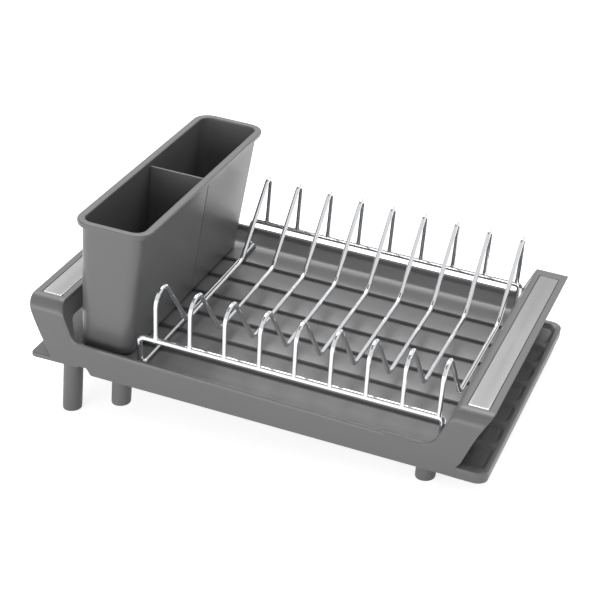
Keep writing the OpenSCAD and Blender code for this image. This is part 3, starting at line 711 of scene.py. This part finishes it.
rack = dict(
    railV=131.2, railH=30.4, leanIn=4.2, low=1.8, rail=5.5, wire=4.2, endWire=4.0, left=-107.5,
    right=167.7, bend=6.5, bendRight=4.5, first=-92.0, pitch=32.0, count=9, footOver=1.2,
    frontPeak=78.1, frontR=12.8, frontLean=3.4, dipBack=68.0, dipH=16.7, dipR=14.0, riseFront=64.0,
    riseH=17.6, riseR=20.0, backPeak=80.8, backR=6.1, wireSwell=0.2, wireReach=2.6, endH=4.7,
    endPast=0.7, endSwell=0.2, endReach=2.5, weldIn=0.25, legShort=0.4, segments=18, railSegments=24)


def archCorner(centre, r, foot, q, side):
    # The lines from foot and q touch the arch's circle where a right-angled triangle stands on
    # it, and meet at the centre plus r times the two normals' sum over one plus their product.
    ways = []
    for point, turn in ((foot, -side), (q, side)):
        dx, dz = point[0] - centre[0], point[1] - centre[1]
        a = math.atan2(dz, dx) + turn * math.acos(r / math.hypot(dx, dz))
        ways.append(np.array([math.cos(a), math.sin(a)]))
    m, n = ways
    return np.array(centre) + r * (m + n) / (1 + m @ n)


def plateWire(index):
    # A vertical out of the front rail, an arch, a dip to the floor, a level run, and a rise to
    # the back arch and down to the back rail, with the corners rounded. More points lie near the
    # ends, where the weld widens the wire.
    s = rack
    u = s["first"] + s["pitch"] * index
    dip = (-s["railV"] + s["dipBack"], s["dipH"])
    rise = (s["railV"] - s["riseFront"], s["riseH"])
    footW = s["railH"] + s["footOver"]
    front, back = (-s["railV"], footW), (s["railV"], footW)
    frontMid = (-s["railV"] - s["frontLean"] + s["frontR"], s["frontPeak"] - s["frontR"])
    backMid = (s["railV"] - s["backR"], s["backPeak"] - s["backR"])
    corners = [front, archCorner(frontMid, s["frontR"], front, dip, 1), dip, rise,
               archCorner(backMid, s["backR"], back, rise, -1), back]
    path = filletPath(corners, [s["frontR"], s["dipR"], s["riseR"], s["backR"]], steps=16)
    more = np.array([0.5, 1.0, 1.6, 2.3, 3.2, 4.5])[:, None]
    head = path[0] + more * (path[1] - path[0]) / np.linalg.norm(path[1] - path[0])
    tail = path[-1] + more[::-1] * (path[-2] - path[-1]) / np.linalg.norm(path[-2] - path[-1])
    path = np.concatenate([path[:1], head, path[1:-1], tail, path[-1:]])
    line = np.column_stack([np.full(len(path), u), path])
    return tubeGrid(line, (1, 0, 0), s["wire"] / 2, s["segments"], s["wireSwell"], s["wireReach"])


def railTube(side):
    # A straight rail bent down into a leg at each end, in a plane that leans inwards. The leg's
    # path stops short by a share of its radius, for the rounded end.
    s = rack
    tip = math.atan(s["leanIn"] / (s["railH"] - s["low"]))
    r = s["rail"] / 2
    leg = (s["railH"] - s["low"] - r * math.sin(tip)) / math.cos(tip) - r * s["legShort"]
    path = filletPath([(s["left"], -leg), (s["left"], 0), (s["right"], 0), (s["right"], -leg)],
                      [s["bend"], s["bendRight"]], steps=12)
    v = side * (s["railV"] + path[:, 1] * math.sin(tip))
    line = np.column_stack([path[:, 0], v, s["railH"] + path[:, 1] * math.cos(tip)])
    return tubeGrid(line, (0, math.cos(tip), -side * math.sin(tip)), r, s["railSegments"])


def endTube(u, reach):
    # A straight wire to reach on both sides, with more points near its welded ends.
    s = rack
    v = np.concatenate([[-1, -0.985, -0.97], np.linspace(-0.9, 0.9, 9), [0.97, 0.985, 1]]) * reach
    line = np.column_stack([np.full(len(v), u), v, np.full(len(v), s["endH"])])
    return tubeGrid(line, (1, 0, 0), s["endWire"] / 2, s["segments"], s["endSwell"], s["endReach"])


# The left end wire lies against the inner sides of its legs, the right one between its legs.
inward = (rack["rail"] + rack["endWire"]) / 2 - rack["weldIn"]
legTip = rack["leanIn"] / (rack["railH"] - rack["low"])
between = rack["railV"] - (rack["railH"] - rack["endH"]) * legTip - rack["rail"] / 2
rackParts = {
    "rack_front_rail": railTube(-1), "rack_back_rail": railTube(1),
    "rack_left_end": endTube(rack["left"] + inward, rack["railV"] - rack["leanIn"] + rack["endPast"]),
    "rack_right_end": endTube(rack["right"], between)}
for index in range(rack["count"]):
    rackParts["plate_wire_%d" % (index + 1)] = plateWire(index)
for node, grid in rackParts.items():
    makePiece(node.replace("_", "-"), [(toRow(grid), False, True, True)], wireChrome, "rack_body", [node])
print("plate rack")

# Utensil holder

cup = dict(
    left=-168.5, baseWide=49.0, topWide=61.0, baseHalf=126.0, topHalf=133.5, low=1.8, high=128.5,
    radius=12.0, wall=2.4, rim=4.5, rimDeep=5.0, floor=2.4, seamV=9.0, seamWide=0.45, seamDepth=0.5)


def cupLoop(w, grow, seam=0.0):
    # The plan widens evenly with height; grow moves it out, and seam dents it at one place by a
    # bell curve.
    s = cup
    k = (w - s["low"]) / (s["high"] - s["low"])
    wide = s["baseWide"] + (s["topWide"] - s["baseWide"]) * k
    half = s["baseHalf"] + (s["topHalf"] - s["baseHalf"]) * k
    extra = s["seamV"] + np.array([-1.6, -0.7, -0.35, 0.0, 0.35, 0.7, 1.6])
    loop = roundedLoop(s["left"] - grow, s["left"] + wide + grow, -half - grow, half + grow,
                       [max(s["radius"] + grow, 1.0)] * 4, arcSteps=12, sideSteps=9, extra=extra)
    onRight = loop[:, 0] > s["left"] + wide / 2
    loop[:, 0] -= seam * np.exp(-((loop[:, 1] - s["seamV"]) / s["seamWide"]) ** 2) * onRight
    return np.column_stack([loop, np.full(len(loop), w)])


def cupRings():
    # Rows of height, growth and seam depth: from the underside's middle, up the outer side, over
    # the turned-out rim, down the inner side and over the inner floor.
    s = cup
    b, h, t, d = s["low"], s["high"], s["wall"], s["high"] - s["rimDeep"]
    f = b + s["floor"]
    rows = [(b, -12, 0), (b, -3.2, 0), (b + 0.25, -2.0, 0), (b + 0.9, -0.9, 0), (b + 2.0, -0.2, 0),
            (b + 3.2, 0, 0)]
    rows += [(z, 0, s["seamDepth"]) for z in np.linspace(b + 6, d - 1.2, 12)]
    rows += [(d - 0.7, 0.15, 0), (d - 0.2, 0.7, 0), (d, 1.3, 0), (d, 3.7, 0), (d + 0.2, 4.25, 0),
             (d + 0.8, s["rim"], 0)]
    rows += [(h - 1.6, s["rim"], 0), (h - 1.1, s["rim"], 0), (h - 0.45, s["rim"] - 0.3, 0),
             (h - 0.1, s["rim"] - 0.8, 0), (h, s["rim"] - 1.4, 0), (h, s["rim"] - 1.8, 0)]
    rows += [(h, 1.8 - t, 0), (h, 1.4 - t, 0), (h - 0.1, 0.8 - t, 0), (h - 0.45, 0.3 - t, 0),
             (h - 1.1, -t, 0), (h - 1.6, -t, 0)]
    rows += [(z, -t, 0) for z in np.linspace(h - 14, f + 6, 6)]
    rows += [(f + 2.6, -t, 0), (f + 1.3, -t - 0.5, 0), (f + 0.5, -t - 1.4, 0), (f + 0.05, -t - 2.8, 0),
             (f, -t - 8, 0)]
    return np.array([cupLoop(z, grow, seam) for z, grow, seam in rows])


makePiece("utensilHolder", [(toRow(cupRings()), False, True, True)], holderPlastic, "holder_body",
          ["utensil_holder"])

divide = dict(v=8.0, thick=2.0, low=4.5, high=123.5, clear=0.3, steps=12)


def dividerRings():
    # Outline of the plate, shrunk by each inset, at places through its thickness; its right edge
    # follows the holder's widening side.
    s, c = divide, cup
    widen = (c["topWide"] - c["baseWide"]) / (c["high"] - c["low"])
    rows = []
    for inset, v in [(0.5, -1.0), (0.15, -0.85), (0, -0.5), (0, 0.5), (0.15, 0.85), (0.5, 1.0)]:
        clear = c["wall"] + s["clear"] + inset
        z = np.linspace(s["low"] + inset, s["high"] - inset, s["steps"])
        right = c["left"] + c["baseWide"] + widen * (z - c["low"]) - clear
        left = np.full(s["steps"], c["left"] + clear)
        depth = np.full(2 * s["steps"], s["v"] + v * s["thick"] / 2)
        rows.append(np.stack([np.concatenate([right, left]), depth, np.concatenate([z, z[::-1]])], -1))
    return np.array(rows)


makePiece("utensilDivider", [(toRow(dividerRings()), False, True, True)], holderPlastic, "divider_body",
          ["utensil_divider"])
print("utensil holder")

# Stage, lights and camera: lengths in metres, power in watts

studio = dict(
    floorHalf=8.0, floorPaint=0.86, floorGlow=0.78, floorBelow=0.0002, soft=0.36, white=1.0,
    ceilingHalf=1.2, ceilingHeight=3.0, ceilingPaint=0.2)
lamps = dict(
    backBox=dict(place=(-0.1, 1.1, 2.0), aim=(0, 0, 0.05), size=(1.8, 1.2), power=39),
    frontBox=dict(place=(-0.5, -2.1, 0.4), aim=(0, 0, 0.1), size=(2.4, 0.7), power=22))


def areaLight(name, place, aim, size, power):
    # A soft box at a place, turned to face a point.
    lamp = bpy.data.lights.new(name, "AREA")
    lamp.shape, lamp.size, lamp.size_y, lamp.energy = "RECTANGLE", size[0], size[1], power
    holder = bpy.data.objects.new(name, lamp)
    bpy.context.scene.collection.objects.link(holder)
    holder.location = place
    holder.rotation_euler = (Vector(aim) - Vector(place)).to_track_quat("-Z", "Y").to_euler()


def grey(value):
    # A neutral colour of one linear value.
    return (value, value, value, 1)


def anyOf(tree, *rays):
    # The greatest of the named kinds' values: 1 where the ray is one of them, else 0.
    path = addNode(tree, "ShaderNodeLightPath")
    seen = path.outputs[rays[0]]
    for ray in rays[1:]:
        either = addNode(tree, "ShaderNodeMath", {0: seen, 1: path.outputs[ray]}, operation="MAXIMUM")
        seen = either.outputs[0]
    return seen


def paleFloor():
    # White laminate counter: it scatters light evenly, and the eye sees it near white.
    material, tree = newMaterial("paleStudioFloor")
    seen = anyOf(tree, "Is Camera Ray", "Is Glossy Ray")
    paint = addNode(tree, "ShaderNodeBsdfDiffuse", {"Color": grey(studio["floorPaint"])})
    glow = addNode(tree, "ShaderNodeEmission", {"Color": grey(1), "Strength": studio["floorGlow"]})
    dark = addNode(tree, "ShaderNodeEmission", {"Color": grey(0), "Strength": 0.0})
    lift = addNode(tree, "ShaderNodeMixShader", {0: seen, 1: dark.outputs[0], 2: glow.outputs[0]})
    both = addNode(tree, "ShaderNodeAddShader", {0: paint.outputs[0], 1: lift.outputs[0]})
    addNode(tree, "ShaderNodeOutputMaterial", {"Surface": both.outputs[0]})
    return material


def darkPaint():
    # Matt dark grey ceiling paint: it gives the chrome its darker lines.
    material, tree = newMaterial("mattCharcoalPaint")
    paint = addNode(tree, "ShaderNodeBsdfDiffuse", {"Color": grey(studio["ceilingPaint"])})
    addNode(tree, "ShaderNodeOutputMaterial", {"Surface": paint.outputs[0]})
    return material


def stagePanel(name, half, height, facing, material):
    # A level square with its middle over the object, facing up (1) or down (-1).
    mesh = bpy.data.meshes.new(name)
    corners = [(-half, -half, 0), (half, -half, 0), (half, half, 0), (-half, half, 0)]
    mesh.from_pydata(corners, [], [(0, 1, 2, 3)[::facing]])
    mesh.materials.append(material)
    panel = bpy.data.objects.new(name, mesh)
    panel.location = (0, 0, height)
    bpy.context.scene.collection.objects.link(panel)
    return panel


def studioWorld():
    # Plain white to the eye and in reflections, and a dimmer soft light on the object.
    world = bpy.data.worlds.new("studio")
    bpy.context.scene.world = world
    world.use_nodes = True
    tree = world.node_tree
    tree.nodes.clear()
    seen = anyOf(tree, "Is Camera Ray", "Is Transmission Ray", "Is Glossy Ray")
    soft = addNode(tree, "ShaderNodeBackground", {"Color": grey(1), "Strength": studio["soft"]})
    white = addNode(tree, "ShaderNodeBackground", {"Color": grey(1), "Strength": studio["white"]})
    blend = addNode(tree, "ShaderNodeMixShader", {0: seen, 1: soft.outputs[0], 2: white.outputs[0]})
    addNode(tree, "ShaderNodeOutputWorld", {"Surface": blend.outputs[0]})


floorPiece = stagePanel("studioFloor", studio["floorHalf"], -studio["floorBelow"], 1, paleFloor())
studioWorld()
for name, lamp in lamps.items():
    areaLight(name, **lamp)
panel = stagePanel("studioCeiling", studio["ceilingHalf"], studio["ceilingHeight"], -1, darkPaint())

# Fitted to the photo: place in millimetres, angles in degrees, focal length and width in pixels
view = dict(
    place=(475.69, -1287.48, 776.8), turn=20.599, down=26.918, roll=-0.199, focal=1686.48,
    sensor=36, picture=600)


def makeCamera():
    # The three axes of the fitted view are the camera's columns; lens is focal pixels times
    # the sensor's width over the picture's width in pixels.
    s = view
    a, e, t = (math.radians(s[k]) for k in ("turn", "down", "roll"))
    right = np.array([math.cos(a), math.sin(a), 0])
    ahead = np.array([-math.sin(a) * math.cos(e), math.cos(a) * math.cos(e), -math.sin(e)])
    up = np.cross(right, ahead)
    across = right * math.cos(t) + up * math.sin(t)
    tall = up * math.cos(t) - right * math.sin(t)
    data = bpy.data.cameras.new("photoView")
    data.sensor_width = s["sensor"]
    data.lens = s["focal"] * s["sensor"] / s["picture"]
    holder = bpy.data.objects.new("photoView", data)
    bpy.context.scene.collection.objects.link(holder)
    basis = Matrix([list(x) for x in np.array([across, tall, -ahead]).T]).to_4x4()
    basis.translation = [p / 1000 for p in s["place"]]
    holder.matrix_world = basis
    bpy.context.scene.camera = holder


makeCamera()
bpy.context.scene.view_settings.view_transform = "Standard"
print("stage and camera")
